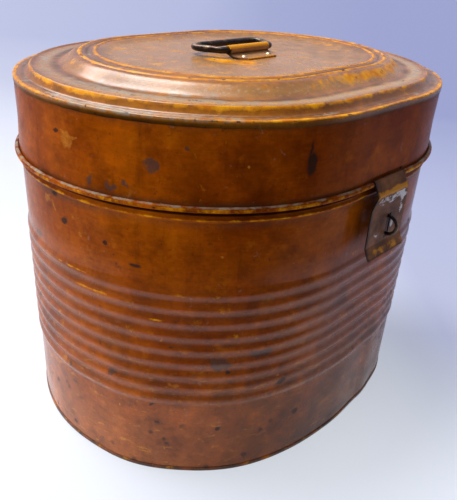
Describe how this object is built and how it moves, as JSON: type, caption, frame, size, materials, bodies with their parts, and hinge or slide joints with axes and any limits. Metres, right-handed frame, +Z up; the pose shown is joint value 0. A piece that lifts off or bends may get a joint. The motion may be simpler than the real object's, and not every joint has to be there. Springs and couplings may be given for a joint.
{
  "type": "oval tin hatbox",
  "caption": "Oval lacquered tin hatbox with a ribbed body, a deep hinged lid with a pressed top, a hasp over a staple and a drop handle on the lid.",
  "frame": {"origin": "centre of the flat underside, where the box stands", "axes": "+X along the oval, -Y to the front with the hasp, +Y to the back with the hinge, +Z up"},
  "size_m": [0.3956, 0.3384, 0.322],
  "materials": {
    "lacquered_tin": "worn amber-brown lacquer, satin gloss",
    "hasp_tin": "worn olive-brown lacquer",
    "clip_tin": "worn brown lacquer, bare gold on the roll",
    "black_iron": "blackened, polished by handling",
    "wire": "dull iron wire",
    "bare_tin": "dull tinplate",
    "rivet_metal": "worn tinned rivet"
  },
  "bodies": {
    "body": {"base_plate": "lacquered_tin", "body_front_sheet": "lacquered_tin", "body_back_sheet": "lacquered_tin", "body_rim_wire": "wire", "staple": "black_iron", "staple_plate": "bare_tin", "hinge_strap": "hasp_tin", "hinge_rivets": "rivet_metal", "hinge_burrs": "rivet_metal"},
    "lid": {"lid_front_skirt": "lacquered_tin", "lid_back_skirt": "lacquered_tin", "lid_top": "lacquered_tin", "lid_edge_wire": "wire", "handle_clip": "clip_tin", "handle_rivets": "rivet_metal", "handle_burrs": "rivet_metal"},
    "bail": {"handle_bail": "black_iron"},
    "hasp": {"hasp_leaf": "hasp_tin"}
  },
  "joints": [
    {"name": "lid_hinge", "type": "hinge", "parent": "body", "child": "lid", "pos_m": [0, 0.15965, 0.2415], "axis": [-1, 0, 0], "range_deg": [0, 175]},
    {"name": "bail_pivot", "type": "hinge", "parent": "lid", "child": "bail", "pos_m": [0, -0.00984, 0.31834], "axis": [1, 0, 0], "range_deg": [0, 180]},
    {"name": "hasp_pivot", "type": "hinge", "parent": "lid", "child": "hasp", "pos_m": [0.005, -0.15964, 0.24429], "axis": [-1, 0, 0], "range_deg": [-8, 140]}
  ]
}
